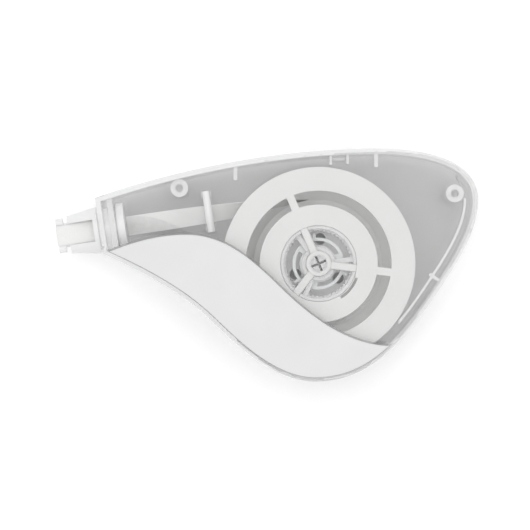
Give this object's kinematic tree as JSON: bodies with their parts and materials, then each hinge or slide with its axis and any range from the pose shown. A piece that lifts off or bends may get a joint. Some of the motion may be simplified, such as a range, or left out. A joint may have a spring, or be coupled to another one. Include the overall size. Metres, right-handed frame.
{
  "type": "correction tape dispenser",
  "caption": "Correction tape with a clear leaf-shaped case, white grip panels, coaxial supply and take-up reels with a slip clutch, and a swivelling applicator head.",
  "frame": {"origin": "under the middle of the part's bounding box, on the plane of its flat back face", "axes": "+X along the length from the applicator tip to the rear shoulder, +Y across the face towards the top edge, +Z through the thickness, out of the front face"},
  "size_m": [0.0912, 0.0498, 0.0171],
  "materials": {
    "clear_case": "clear moulded polystyrene, polished",
    "white_grip": "white moulded plastic, satin",
    "natural_head": "milky natural plastic, satin",
    "white_reel": "white moulded plastic, satin",
    "clear_clutch": "clear moulded plastic, polished",
    "white_tape": "white correction film on carrier tape",
    "clear_film": "bare translucent carrier film"
  },
  "bodies": {
    "case": {"rear_case": "clear_case", "front_case": "clear_case", "rear_grip": "white_grip", "front_grip": "white_grip", "guide_pin": "natural_head", "supply_run": "white_tape", "return_run": "clear_film"},
    "head": {"applicator_head": "natural_head", "head_tape": "white_tape"},
    "supply": {"supply_core": "white_reel", "supply_flange": "white_reel", "supply_tape": "white_tape", "clutch_spring": "white_reel"},
    "takeup": {"takeup_disc": "white_reel", "takeup_spool": "white_reel", "takeup_film": "clear_film", "clutch_ring": "clear_clutch"}
  },
  "joints": [
    {"name": "supply_spin", "type": "hinge", "parent": "case", "child": "supply", "pos_m": [0.01148, 0.0003, 0.00857], "axis": [0, 0, 1], "continuous": true},
    {"name": "takeup_spin", "type": "hinge", "parent": "case", "child": "takeup", "pos_m": [0.01148, 0.0003, 0.00857], "axis": [0, 0, 1], "continuous": true},
    {"name": "head_swivel", "type": "hinge", "parent": "case", "child": "head", "pos_m": [-0.03314, 0.00797, 0.00857], "axis": [0.989, 0.1478, 0], "range_deg": [-12, 12]}
  ],
  "couplings": [
    {"joint": "takeup_spin", "follows": "supply_spin", "ratio": 0.8169}
  ]
}
